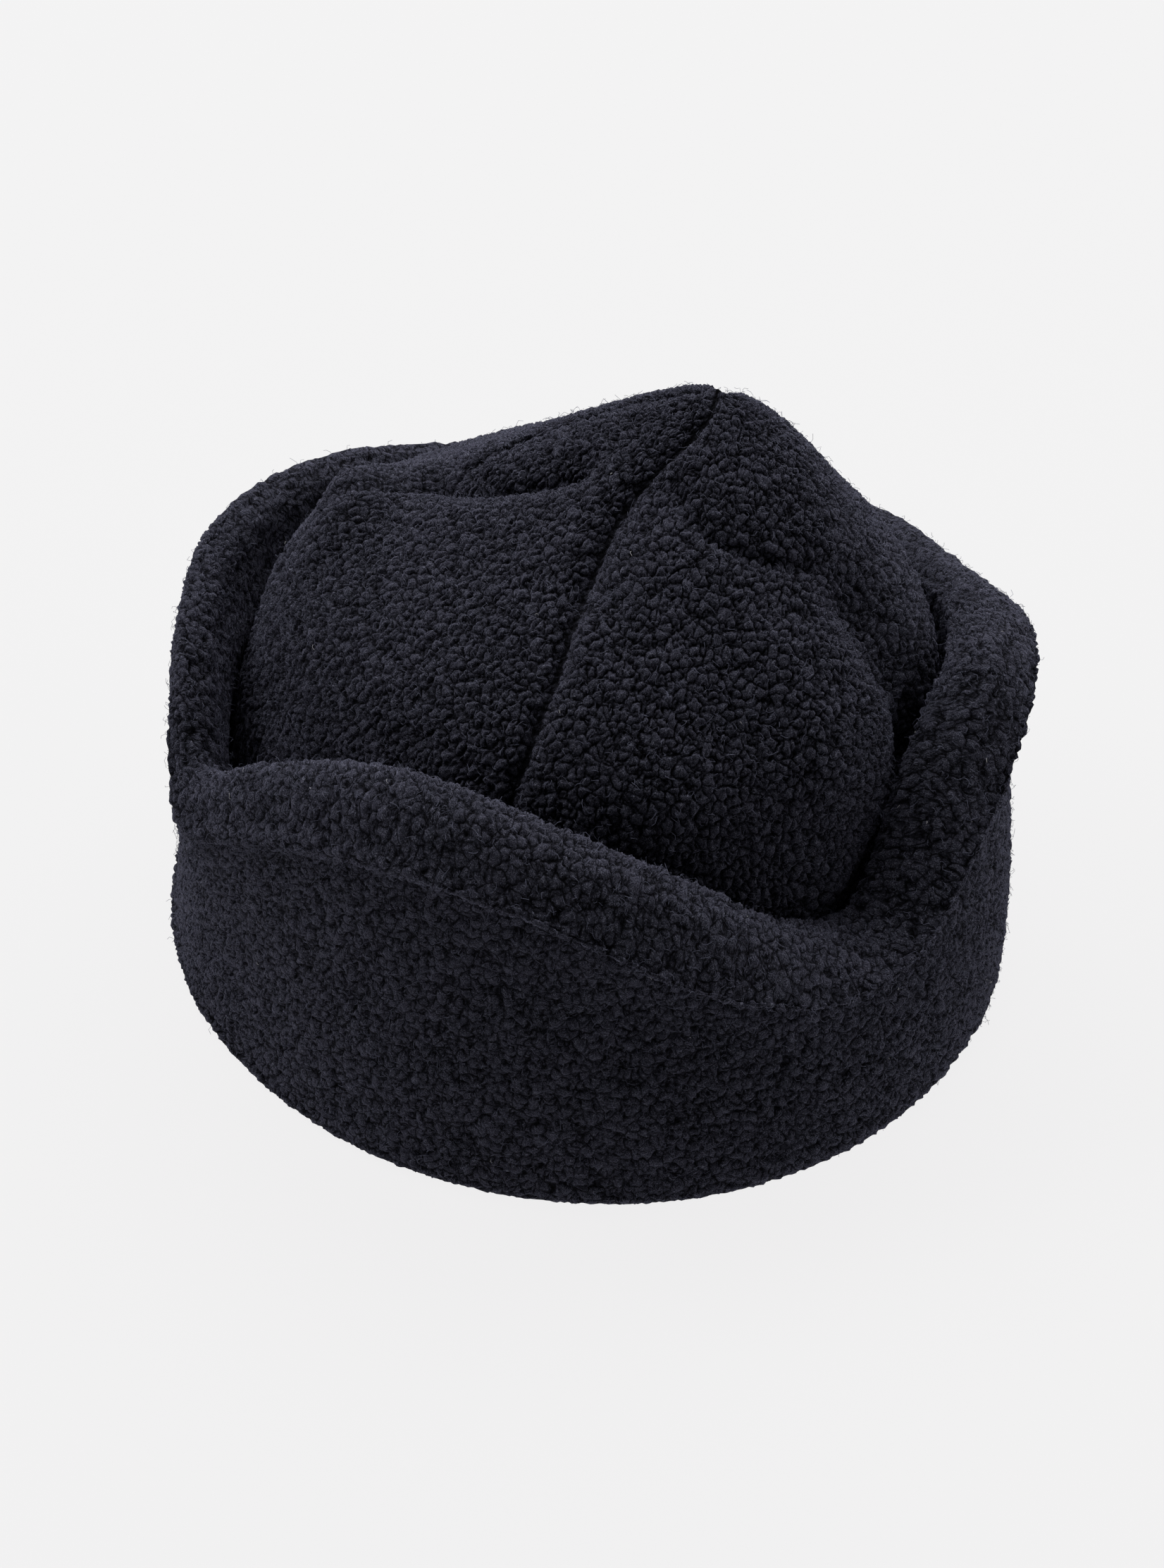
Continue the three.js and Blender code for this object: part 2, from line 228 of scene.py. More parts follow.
def panel_rows(seam, spacing, hidden_below):
    """Places of a panel's rows, fine where it shows and coarse where the cuff hides it."""
    places = np.linspace(0, LAST_SECTION, FINE_PLACES)
    middle = crown_oval((seam_angle(seam, places) + seam_angle(seam + 1, places)) / 2, places)
    steps = np.linalg.norm(np.diff(middle, axis=0), axis=1)
    shown = middle[1:, 2] > hidden_below
    count = np.concatenate([[0], np.cumsum(steps / np.where(shown, spacing, HIDDEN_SPACING))])
    cells = math.ceil(count[-1] / INNER_STEP) * INNER_STEP
    return np.interp(np.linspace(0, count[-1], cells + 1), count, places)


def panel_grid(seam, places, columns, below):
    """Grid of points over a panel, [row, column], at a depth below its outer face, and how much of
    their height the curls keep at each."""
    start, end = seam_angle(seam, places), seam_angle(seam + 1, places)
    reach = crown_reach(crown_oval((start + end) / 2, places), places)
    lap = SEAM_LAP / 2 / np.maximum(reach, 1)
    part = np.linspace(0, 1, columns + 1)
    angle = (start - lap)[:, None] + (end - start + 2 * lap)[:, None] * part
    place = np.repeat(places[:, None], columns + 1, axis=1)
    points = crown_point(angle, place, below)
    nub = np.ones(points.shape[:-1])
    for side in (seam, seam + 1):
        distance = seam_distance(side, angle, place, points)
        nub = np.minimum(nub, np.maximum(distance / STITCH_HALF_WIDTH, STITCH_NUBS[side % 4]))
    return points, nub


def grid_faces(rows, columns, first, flip):
    """Four-sided faces of a grid whose corners count up from first."""
    corner = first + np.arange(rows)[:, None] * columns + np.arange(columns)
    a, b = corner[:-1, :-1].ravel(), corner[:-1, 1:].ravel()
    c, d = corner[1:, 1:].ravel(), corner[1:, :-1].ravel()
    return np.stack([a, d, c, b] if flip else [a, b, c, d], -1)


def cloth_mesh(name, points, faces, cloth, nub):
    """A mesh in metres that remembers the place of each point in the unraised cloth, and how much its
    curls rise."""
    shifted = (points + np.array([*ORIGIN_SHIFT, 0])) * MM
    mesh = bpy.data.meshes.new(name)
    sizes = np.array([len(face) for face in faces], np.int32)
    mesh.vertices.add(len(points))
    mesh.vertices.foreach_set("co", shifted.astype(np.float32).ravel())
    mesh.loops.add(int(sizes.sum()))
    mesh.loops.foreach_set("vertex_index", np.concatenate(faces).astype(np.int32))
    mesh.polygons.add(len(sizes))
    starts = np.concatenate([[0], np.cumsum(sizes)[:-1]])
    mesh.polygons.foreach_set("loop_start", starts.astype(np.int32))
    mesh.polygons.foreach_set("use_smooth", np.ones(len(sizes), bool))
    mesh.attributes.new("cloth", "FLOAT_VECTOR", "POINT").data.foreach_set(
        "vector", (cloth * MM).astype(np.float32).ravel()
    )
    mesh.attributes.new("nub", "FLOAT", "POINT").data.foreach_set(
        "value", nub.astype(np.float32).ravel()
    )
    mesh.update(calc_edges=True)
    mesh.validate()
    piece = bpy.data.objects.new(name, mesh)
    bpy.context.scene.collection.objects.link(piece)
    return piece


def panel_mesh(name, seam, columns, spacing, hidden_below):
    """A closed shell: the outer face in fine cells, the inner in coarse ones, and four edges."""
    places = panel_rows(seam, spacing, hidden_below)
    outer, nub_outer = panel_grid(seam, places, columns, 0)
    inner, _ = panel_grid(seam, places[::INNER_STEP], columns // INNER_STEP, CROWN_WALL)
    rows, wide = outer.shape[:2]
    inner_rows, inner_wide = inner.shape[:2]
    first_inner = rows * wide
    outer_at = np.arange(first_inner).reshape(rows, wide)
    inner_at = first_inner + np.arange(inner_rows * inner_wide).reshape(inner_rows, inner_wide)
    faces = [
        *grid_faces(rows, wide, 0, False),
        *grid_faces(inner_rows, inner_wide, first_inner, True),
    ]
    borders = [
        (outer_at[0], inner_at[0]),
        (outer_at[:, -1], inner_at[:, -1]),
        (outer_at[-1, ::-1], inner_at[-1, ::-1]),
        (outer_at[::-1, 0], inner_at[::-1, 0]),
    ]
    for fine, coarse in borders:
        for cell in range(len(coarse) - 1):
            run = fine[cell * INNER_STEP:(cell + 1) * INNER_STEP + 1]
            faces.append(np.concatenate([run[::-1], [coarse[cell], coarse[cell + 1]]]))
    # curls lie flat where the thread or a crease holds them, and inside the crown; there the cloth takes
    # the painted crevice shade
    nub_outer = nub_outer * crease_free(outer)
    nub = np.concatenate([nub_outer.ravel(), np.full(inner_rows * inner_wide, INSIDE_NUB)])
    points = np.concatenate([outer.reshape(-1, 3), inner.reshape(-1, 3)])
    return cloth_mesh(name, points, faces, points, nub)


def add(tree, kind, inputs=None, **settings):
    """Adds a node, with its settings, and its inputs set or linked."""
    made = tree.nodes.new(kind)
    for name, value in settings.items():
        setattr(made, name, value)
    for name, value in (inputs or {}).items():
        enabled = [socket for socket in made.inputs if socket.name == name and socket.enabled]
        socket = enabled[0] if enabled else made.inputs[name]
        if isinstance(value, bpy.types.NodeSocket):
            tree.links.new(value, socket)
        else:
            socket.default_value = value
    return made


def linear(hex_colour):
    """Linear colour of an sRGB hex value."""
    channels = [int(hex_colour[start:start + 2], 16) / 255 for start in (1, 3, 5)]
    return [c / 12.92 if c <= 0.04045 else ((c + 0.055) / 1.055) ** 2.4 for c in channels] + [1]


CURL_HEIGHT = 1.9
# The height in the curls, from 0 to 1, that lies on the cloth's own face
CURL_SINK = 0.6
# Clumps, curls, and the loops in a curl: their sizes in millimetres and shares of the relief
CURL_LAYERS = ((5.5, 0.2), (2.6, 0.52), (1.2, 0.28))
# How far, and over what size, the curls wander from an even pattern
CURL_WANDER = 1.6
WANDER_SIZE = 3.2
# How far from its edge, as a part of its size, a curl is at its full height
CURL_SHOULDER = 0.22
PILLOW_POWER = 0.7


def curl_field(tree, place):
    """Height of the curls, from 0 in a crevice to 1 on top. The same nodes shape the mesh and
    colour it, with painted shade in the crevices."""
    wander = add(tree, "ShaderNodeTexNoise", {
        "Vector": place, "Scale": 1 / (WANDER_SIZE * MM), "Detail": 2.0,
    })
    centred = add(tree, "ShaderNodeVectorMath", {0: wander.outputs["Color"], 1: (0.5, 0.5, 0.5)},
                  operation="SUBTRACT")
    moved = add(tree, "ShaderNodeVectorMath", {0: centred.outputs[0], 1: (2 * CURL_WANDER * MM,) * 3},
                operation="MULTIPLY")
    bent = add(tree, "ShaderNodeVectorMath", {0: place, 1: moved.outputs[0]},
               operation="ADD").outputs[0]
    height = 0.0
    for size, share in CURL_LAYERS:
        edge = add(tree, "ShaderNodeTexVoronoi", {"Vector": bent, "Scale": 1 / (size * MM)},
                   feature="DISTANCE_TO_EDGE").outputs["Distance"]
        inward = add(tree, "ShaderNodeMapRange", {"Value": edge, "From Max": CURL_SHOULDER}).outputs[0]
        pillow = add(tree, "ShaderNodeMath", {0: inward, 1: PILLOW_POWER}, operation="POWER").outputs[0]
        height = add(tree, "ShaderNodeMath", {0: pillow, 1: share, 2: height},
                     operation="MULTIPLY_ADD").outputs[0]
    return height


# Wool fleece, knitted with a looped face and boiled so that the loops felt into tight curls. The eye
# sees matt near-black navy curls with painted shade between them, fine paler fibres over each that are
# partly painted highlight, and a pale bloom of fibre at a glancing angle.
FIBRE_SIZE = 0.7
# Half the width of a fibre as a part of the noise's range, and its relief beside the curls'
FIBRE_HALF_WIDTH = 0.05
FIBRE_RELIEF = 0.28
# Share of the fibres' pale colour, which is partly painted highlight
FIBRE_SHARE = 0.6
# Depth of the relief in millimetres, and how strongly it turns the light
BUMP_DEPTH, BUMP_STRENGTH = 0.8, 0.85
# Worn and brushed patches: their size, and the part of the noise's range over which they change
PATCH_SIZE = 14
PATCH_FROM, PATCH_TO = 0.3, 0.7
# Shares of the curls' full height between which the cloth goes from the painted crevice shade to its own
# colour
FLAT_BELOW, RAISED_ABOVE = 0.1, 0.5
# Heights in the curls between which the cloth goes from its painted crevice shade to its own colour
SHADE_FROM, SHADE_TO = 0.18, 0.85
SHEEN_TOP, SHEEN_LEAST = 0.24, 0.05
FLEECE_SHEEN = "#c0c0e2"
# Painted shade: the near-black colour that stands in for the shade in the crevices between the curls
FLEECE_CREVICE_SHADE = "#030305"
FLEECE_CURL = "#21222a"
FLEECE_TOP = "#2d2d37"
# Pale fibre colour, partly the fibres' own and partly painted highlight
FLEECE_FIBRE_AND_HIGHLIGHT = "#7b7c8c"


def wool_fleece():
    """Material of boiled wool curls."""
    material = bpy.data.materials.new("boiled_wool_curl_fleece")
    material.use_nodes = True
    tree = material.node_tree
    tree.nodes.clear()
    place = add(tree, "ShaderNodeAttribute", attribute_name="cloth").outputs["Vector"]
    height = curl_field(tree, place)
    # fibres are the thin lines where a wandering noise crosses its middle value; their pale colour is
    # partly painted highlight
    tangle = add(tree, "ShaderNodeTexNoise", {
        "Vector": place, "Scale": 1 / (FIBRE_SIZE * MM), "Detail": 1.0, "Distortion": 1.6,
    }).outputs[0]
    off_line = add(tree, "ShaderNodeMath", {0: tangle, 1: 0.5}, operation="SUBTRACT").outputs[0]
    beside = add(tree, "ShaderNodeMath", {0: off_line}, operation="ABSOLUTE").outputs[0]
    fibre = add(tree, "ShaderNodeMapRange", {
        "Value": beside, "From Min": FIBRE_HALF_WIDTH, "From Max": 0.0,
    }, interpolation_type="SMOOTHSTEP").outputs[0]
    relief = add(tree, "ShaderNodeMath", {0: fibre, 1: FIBRE_RELIEF, 2: height},
                 operation="MULTIPLY_ADD").outputs[0]
    bump = add(tree, "ShaderNodeBump", {
        "Height": relief, "Distance": BUMP_DEPTH * MM, "Strength": BUMP_STRENGTH,
    })
    patches = add(tree, "ShaderNodeTexNoise", {
        "Vector": place, "Scale": 1 / (PATCH_SIZE * MM), "Detail": 4.0,
    }).outputs[0]
    tone = add(tree, "ShaderNodeMapRange", {
        "Value": patches, "From Min": PATCH_FROM, "From Max": PATCH_TO,
    }).outputs[0]
    curl = add(tree, "ShaderNodeMix", {
        "Factor": tone, "A": linear(FLEECE_CURL), "B": linear(FLEECE_TOP),
    }, data_type="RGBA")
    # where the curls lie flat, the cloth takes the painted crevice shade
    rise = add(tree, "ShaderNodeAttribute", attribute_name="nub").outputs["Fac"]
    share = add(tree, "ShaderNodeMapRange", {
        "Value": rise, "From Min": FLAT_BELOW, "From Max": RAISED_ABOVE,
    }).outputs[0]
    shown = add(tree, "ShaderNodeMath", {0: share, 1: height}, operation="MULTIPLY").outputs[0]
    high = add(tree, "ShaderNodeMapRange", {"Value": shown, "From Min": SHADE_FROM, "From Max": SHADE_TO},
               interpolation_type="SMOOTHSTEP").outputs[0]
    shown_fibre = add(tree, "ShaderNodeMath", {0: fibre, 1: high}, operation="MULTIPLY").outputs[0]
    fibre_share = add(tree, "ShaderNodeMath", {0: shown_fibre, 1: FIBRE_SHARE},
                      operation="MULTIPLY").outputs[0]
    dyed = add(tree, "ShaderNodeMix", {
        "Factor": fibre_share, "A": curl.outputs[2], "B": linear(FLEECE_FIBRE_AND_HIGHLIGHT),
    }, data_type="RGBA")
    # painted shade: the crevices and flattened curls are coloured near-black in place of their shade
    colour = add(tree, "ShaderNodeMix", {
        "Factor": high, "A": linear(FLEECE_CREVICE_SHADE), "B": dyed.outputs[2],
    }, data_type="RGBA")
    sheen = add(tree, "ShaderNodeMath", {0: high, 1: SHEEN_TOP, 2: SHEEN_LEAST},
                operation="MULTIPLY_ADD").outputs[0]
    surface = add(tree, "ShaderNodeBsdfPrincipled", {
        "Base Color": colour.outputs[2],
        "Normal": bump.outputs[0],
        "Roughness": 0.95,
        "Specular IOR Level": 0.06,
        "Sheen Weight": sheen,
        "Sheen Roughness": 0.35,
        "Sheen Tint": linear(FLEECE_SHEEN),
    })
    out = add(tree, "ShaderNodeOutputMaterial")
    tree.links.new(surface.outputs[0], out.inputs["Surface"])
    return material


def curl_raiser(material):
    """Geometry nodes that push the cloth out where there is a curl and in where there is a crevice."""
    tree = bpy.data.node_groups.new("raise_curls", "GeometryNodeTree")
    tree.interface.new_socket("Geometry", in_out="INPUT", socket_type="NodeSocketGeometry")
    tree.interface.new_socket("Curl height", in_out="INPUT", socket_type="NodeSocketFloat")
    tree.interface.new_socket("Curl sink", in_out="INPUT", socket_type="NodeSocketFloat")
    tree.interface.new_socket("Geometry", in_out="OUTPUT", socket_type="NodeSocketGeometry")
    given = add(tree, "NodeGroupInput")
    place = add(tree, "GeometryNodeInputNamedAttribute", {"Name": "cloth"}, data_type="FLOAT_VECTOR")
    share = add(tree, "GeometryNodeInputNamedAttribute", {"Name": "nub"}, data_type="FLOAT")
    height = curl_field(tree, place.outputs["Attribute"])
    above = add(tree, "ShaderNodeMath", {0: height, 1: given.outputs["Curl sink"]}, operation="SUBTRACT")
    scaled = add(tree, "ShaderNodeMath", {0: above.outputs[0], 1: given.outputs["Curl height"]},
                 operation="MULTIPLY")
    rise = add(tree, "ShaderNodeMath", {0: scaled.outputs[0], 1: share.outputs["Attribute"]},
               operation="MULTIPLY")
    normal = add(tree, "GeometryNodeInputNormal")
    offset = add(tree, "ShaderNodeVectorMath", {0: normal.outputs[0], "Scale": rise.outputs[0]},
                 operation="SCALE")
    moved = add(tree, "GeometryNodeSetPosition", {"Geometry": given.outputs["Geometry"],
                                                  "Offset": offset.outputs[0]})
    real = add(tree, "GeometryNodeRealizeInstances", {"Geometry": moved.outputs[0]})
    dyed = add(tree, "GeometryNodeSetMaterial", {"Geometry": real.outputs[0], "Material": material})
    out = add(tree, "NodeGroupOutput")
    tree.links.new(dyed.outputs[0], out.inputs[0])
    return tree


def made_real(piece, tree, **values):
    """Runs a node tree on a piece with its named inputs, and keeps the result as a plain mesh."""
    modifier = piece.modifiers.new(tree.name, "NODES")
    modifier.node_group = tree
    sockets = {item.name: item.identifier for item in tree.interface.items_tree if item.in_out == "INPUT"}
    for name, value in values.items():
        modifier[sockets[name.replace("_", " ").capitalize()]] = value
    view = bpy.context.evaluated_depsgraph_get()
    mesh = bpy.data.meshes.new_from_object(piece.evaluated_get(view))
    mesh.name = piece.name
    piece.modifiers.remove(modifier)
    return mesh


fleece = wool_fleece()
raise_curls = curl_raiser(fleece)


def finish_cloth(piece, node):
    """Raises the curls and fits the piece in the place of its CAD solid."""
    piece.data = made_real(piece, raise_curls, curl_height=CURL_HEIGHT * MM, curl_sink=CURL_SINK)
    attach(piece, "root")
    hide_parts(node)


for name, seam, columns, spacing, hidden_below in CROWN_PANELS:
    panel = panel_mesh(name + "_fleece", seam, columns, spacing, hidden_below)
    finish_cloth(panel, name)

# Cuff
# The lower part of the cap, of the same fleece doubled. It folds at the bottom, comes up outside the
# crown, and its top edge turns over into a thick roll that dips at the forehead.
BASE_HALF_WIDTH, BASE_HALF_LENGTH = 102, 113
BASE_FOLD_DEPTH = 12
LEDGE_HEIGHT = 10
# The wall starts above the bottom fold
WALL_FOOT = 7.5
# Least gap between the cuff's inner face and the smooth crown
CUFF_CLEARANCE = 0.6

# Lengths in millimetres and wall sections by angle. crease is 1 where the ridge is sharp, tuck is how
# far the wall draws in under the ridge, and lining how far the inner face swells.
CUFF_TABLE = np.array([
    # angle, crest_height, crest_inset, ridge_drop, ridge_reach, crease, wall_lean, tuck, lining
    (-185, 76, 6.5, 11, 0.6, 0.4, -4, 1.5, 4),
    (-170, 90, 11, 15, 0, 0.3, -4.5, 1, 2),
    (-155, 102.5, 14.5, 14, -0.5, 0.4, -3, 2, 0.5),
    (-140, 108, 16, 13, 0.5, 0.6, -1.5, 3.5, 0),
    (-120, 102, 16, 12, 3, 0.9, -1, 6, 0),
    (-100, 84, 16, 16.5, 4, 1, -1, 6, 0),
    (-86, 66, 15.5, 9.5, 4, 1, -0.5, 5, 0),
    (-76, 60.5, 16.5, 4, 4, 1, 0, 5, 0),
    (-60, 86.5, 16.5, 12, 3.5, 1, 1, 5, 0),
    (-45, 102, 11, 11, 5.5, 1, 2.5, 5, 0),
    (-30, 100, 10, 8, 5.6, 1, 3, 3.5, 0),
    (-10, 88.5, 10, 8, 3.2, 0.7, 3, 3, 0),
    (15, 81, 10, 8, 3, 0.4, 2.5, 2, 0),
    (45, 76, 12, 8, 2, 0.3, 0, 1, 0),
    (75, 73.5, 12.5, 7, 0, 0.3, 0, 0.5, 0.5),
    (100, 82, 12, 6, -1, 0.3, -1, 0.5, 2.5),
    (125, 89, 11.5, 6, -6, 0.3, -4, 0, 6),
    (143, 92.5, 12, 5, -9, 0.3, -7, 0, 7),
    (158, 91, 10.5, 5, -7, 0.4, -6, 0, 6),
    (167, 84, 8.5, 6, -3, 0.4, -5, 0.5, 5),
], float)
ANGLE, CREST, INSET, DROP, REACH, CREASE, LEAN, TUCK, LINING = range(9)
# Corners of the bottom fold, which is flat where the cap stands on it
FOLD_CORNERS = [
    # offset from the base oval, share of the wall's lean, height
    (-BASE_FOLD_DEPTH, 0, LEDGE_HEIGHT),
    (-BASE_FOLD_DEPTH, 0, 5),
    (-11.2, 0, 2),
    (-9.2, 0, 0),
    (-7, 0, 0),
    (-5, 0, 0),
    (-2.6, 0.1, 1),
    (-0.8, 0.35, 3.4),
    (-0.1, 0.7, WALL_FOOT),
]
# Heights on the wall, as parts of the way up to the ridge, and the share of the tuck at each
WALL_PARTS = [(0.25, 0.1), (0.45, 0.35), (0.65, 0.75), (0.82, 0.95), (0.93, 1)]
# Up the wall the lean gives way, by this power, to this share of the ridge's reach
WALL_POWER, WALL_REACH = 4, 0.9
# The corners on either side of the ridge lie this far from it where it is sharp, and up to so much
# more where it isn't. The lower one is drawn in a little and the upper one raised.
SHARP_ROUNDING, SOFT_ROUNDING = 1, 3.5
DRAWN_IN, RAISED = 0.15, 1.3
# The roll under the crest as (inward, down, share of the lining), and the inner face below it
ROLL_UNDER = [(3.2, 1.8, 0.05), (5, 6, 0.15)]
INNER_PARTS = [(0.25, 1), (0.5, 0.8), (0.75, 0.3)]
# The inner face's lowest place, as (offset from the base oval, height)
INNER_FOOT = (-7.2, 12)
# Where the band above the ridge has corners, as parts of the way to the crest, and how it bulges
BAND_PARTS = (0.35, 0.62, 0.85)
BAND_BULGE = 0.33
# The side that shows in front runs between these angles, and has the finest cells
SHOWN_FROM, SHOWN_TO = -235, -12
SHOWN_SPACING, BEHIND_SPACING = 0.88, 2.6
# The angle in which lengths round the cuff are summed
FINE_TURN = 0.05
AIMING_ROUNDS = 6


def around_rows(column, degrees):
    """Smooth closed curve through a column of the cuff's unequally spaced rows."""
    angles, values, count = CUFF_TABLE[:, ANGLE], CUFF_TABLE[:, column], len(CUFF_TABLE)
    angle = (degrees - angles[0]) % 360
    row = np.searchsorted(angles - angles[0], angle, side="right") - 1
    before, after, later = (row - 1) % count, (row + 1) % count, (row + 2) % count
    span = (angles[after] - angles[row]) % 360
    span_before = (angles[row] - angles[before]) % 360
    span_after = (angles[later] - angles[after]) % 360
    v0, v1, v2, v3 = values[before], values[row], values[after], values[later]
    slope = (v2 - v1) / span
    slope_in = ((v1 - v0) / span_before * span + slope * span_before) / (span + span_before)
    slope_out = (slope * span_after + (v3 - v2) / span_after * span) / (span + span_after)
    part = (angle - (angles[row] - angles[0])) / span
    square = part ** 2 * (3 * (v2 - v1) - span * (2 * slope_in + slope_out))
    cube = part ** 3 * (2 * (v1 - v2) + span * (slope_in + slope_out))
    return v1 + span * slope_in * part + square + cube


def base_radius(angle):
    """Radius of the base oval."""
    across, along = BASE_HALF_LENGTH * np.cos(angle), BASE_HALF_WIDTH * np.sin(angle)
    return BASE_HALF_WIDTH * BASE_HALF_LENGTH / np.hypot(across, along)


def crown_radius(angle, height):
    """Radius of the smooth crown about the base's middle."""
    place = crown_place(height)
    own = angle.copy()
    for _ in range(AIMING_ROUNDS):
        point = crown_oval(own, place)
        miss = angle - np.arctan2(point[..., 1], point[..., 0])
        own = own + np.arctan2(np.sin(miss), np.cos(miss))
    point = crown_oval(own, place)
    return np.hypot(point[..., 0], point[..., 1])


def cuff_sections(degrees):
    """Corner points of the cuff's outline, [station, corner, (offset from the base oval, height)],
    from the ledge inside, round the bottom fold, up the outside, over the top and down the inside."""
    crest, inset, drop, reach, crease, lean, tuck, lining = (
        around_rows(column, degrees)
        for column in (CREST, INSET, DROP, REACH, CREASE, LEAN, TUCK, LINING)
    )
    ridge = crest - drop
    outer = [(offset + share * lean, height) for offset, share, height in FOLD_CORNERS]
    for part, tucked in WALL_PARTS:
        bulge = lean * (1 - part ** WALL_POWER) + reach * part ** WALL_POWER * WALL_REACH
        outer.append((bulge - tuck * tucked, WALL_FOOT + (ridge - WALL_FOOT) * part))
    rounding = SHARP_ROUNDING + SOFT_ROUNDING * (1 - crease)
    band = np.hypot(inset + reach, drop)
    outer.append((reach - DRAWN_IN * rounding, ridge - rounding))
    outer.append((reach, ridge))
    outer.append((reach - (inset + reach) * rounding / band, ridge + RAISED * drop * rounding / band))
    for part in BAND_PARTS:
        up = part + BAND_BULGE * math.sin(math.pi * part)
        outer.append((reach - (inset + reach) * part, ridge + drop * up))
    outer.append((-inset, crest))
    inner = [(-inset - inward - share * lining, crest - down) for inward, down, share in ROLL_UNDER]
    under_inward, under_down, _ = ROLL_UNDER[-1]
    top_offset, top_height = -inset - under_inward, crest - under_down
    foot_offset, foot_height = INNER_FOOT
    for part, share in INNER_PARTS:
        offset = top_offset + (foot_offset - top_offset) * part - share * lining
        inner.append((offset, top_height + (foot_height - top_height) * part))
    inner.append(INNER_FOOT)
    # the inner face keeps clear of the crown
    flat = 0 * degrees
    turn = np.radians(degrees)
    least = CUFF_CLEARANCE - base_radius(turn)
    lowest = CROWN_SECTIONS[0, HEIGHT]
    clear = [
        (np.maximum(offset, crown_radius(turn, np.maximum(height + flat, lowest)) + least), height)
        for offset, height in inner
    ]
    corners = [*outer, *clear, (foot_offset, LEDGE_HEIGHT)]
    return np.stack([np.stack([offset + flat, height + flat], -1) for offset, height in corners], 1)


# How many cells each stretch between two corners of the outline is cut into
FOLD_CELLS = [1, 1, 1, 2, 2, 3, 4, 6]
WALL_CELLS = [20, 15, 15, 12, 9, 6, 4]
BAND_CELLS = [5, 6, 7, 6, 5]
TOP_CELLS = [5, 6]
INNER_CELLS = [17, 7, 2, 1, 1, 1]
CUFF_CELLS = FOLD_CELLS + WALL_CELLS + BAND_CELLS + TOP_CELLS + INNER_CELLS

WALL_MIDDLE = sum(CUFF_CELLS[:10])
BAND_START = sum(FOLD_CELLS + WALL_CELLS)
BAND_END = BAND_START + sum(BAND_CELLS)
# Curls across the band are longer
BAND_STRETCH = 0.85
# Curls flatten towards the surface that the cap stands on, from this height, and there take the painted
# crevice shade
PRESSED_BELOW = 3
# Share of their height that the curls have over the top edge, and at both ends of the inner face. Down the
# inner face the curls take more painted crevice shade.
TOP_NUB = 1.3
INNER_NUBS = (1.3, 0.2)


def cuff_outline(corners):
    """Smooth closed outline through the corners of each section."""
    count = corners.shape[1]
    places = np.concatenate([
        corner + np.arange(cells) / cells for corner, cells in enumerate(CUFF_CELLS)
    ])
    start = places.astype(int)
    part = (places - start)[None, :, None]
    p0, p1, p2, p3 = (corners[:, (start + step) % count] for step in (-1, 0, 1, 2))
    bend = part * (3 * (p1 - p2) + p3 - p0)
    outline = p1 + 0.5 * part * (p2 - p0 + part * (2 * p0 - 5 * p1 + 4 * p2 - p3 + bend))
    outline[..., 1] = np.maximum(outline[..., 1], 0)
    return outline


def cuff_stations():
    """Angles of the cuff's sections, close together on the side that shows."""
    degrees = np.linspace(SHOWN_FROM, SHOWN_FROM + 360, round(360 / FINE_TURN) + 1)
    turn = np.radians(degrees[:-1])
    steps = base_radius(turn) * np.radians(FINE_TURN)
    spacing = np.where(degrees[:-1] < SHOWN_TO, SHOWN_SPACING, BEHIND_SPACING)
    count = np.concatenate([[0], np.cumsum(steps / spacing)])
    return np.interp(np.linspace(0, count[-1], round(count[-1]) + 1)[:-1], count, degrees)


def cuff_mesh(name):
    """A closed ring: the outline at each station, joined to the next."""
    degrees = cuff_stations()
    outline = cuff_outline(cuff_sections(degrees))
    turn = np.radians(degrees)[:, None]
    radius = base_radius(turn) + outline[..., 0]
    points = np.stack([radius * np.cos(turn), radius * np.sin(turn), outline[..., 1]], -1)
    stations, size = points.shape[:2]
    around = np.arange(stations)[:, None]
    along = np.arange(size)[None, :]
    next_around, next_along = (around + 1) % stations, (along + 1) % size
    faces = np.stack([
        (around * size + along).ravel(), (next_around * size + along).ravel(),
        (next_around * size + next_along).ravel(), (around * size + next_along).ravel(),
    ], -1)
    # the cloth's own place: round a drum by its length round the cuff, and up it by its length along
    # the outline, with longer curls across the band
    middle = points[:, WALL_MIDDLE]
    length_round = np.linalg.norm(np.roll(middle, -1, 0) - middle, axis=-1)
    round_part = (np.cumsum(length_round) - length_round) / length_round.sum() * 2 * np.pi
    steps = np.linalg.norm(np.diff(outline, axis=1), axis=-1)
    steps[:, BAND_START:BAND_END] *= BAND_STRETCH
    across = np.concatenate([np.zeros((stations, 1)), np.cumsum(steps, axis=1)], 1)
    drum = length_round.sum() / (2 * np.pi)
    cloth = np.stack([
        drum * np.cos(round_part)[:, None] + 0 * across,
        drum * np.sin(round_part)[:, None] + 0 * across,
        across,
    ], -1)
    nub = np.clip(points[..., 2] / PRESSED_BELOW, 0, 1)
    inner_cells = sum(INNER_CELLS)
    nub[:, BAND_END:-inner_cells] *= TOP_NUB
    nub[:, -inner_cells:] *= np.linspace(*INNER_NUBS, inner_cells)
    return cloth_mesh(name, points.reshape(-1, 3), list(faces), cloth.reshape(-1, 3), nub.ravel())


cuff = cuff_mesh("cuff_fleece")
finish_cloth(cuff, "cuff")

# Stray fibres
# Ends of wool that work loose from the curls all over the cap. They stand off the cloth by a few
# millimetres and soften its outline. A few are pale lint that has settled on it.
STRAND_RADIUS = 0.045
# A strand's start, its two handles and its end, before it is scaled, turned and curled
STRAND_ARC = ((0, 0, -0.4), (0.2, 0, 1.2), (2.4, 0.3, 1.6), (2.8, 1.2, 0.5))
ARC_STEPS = 8
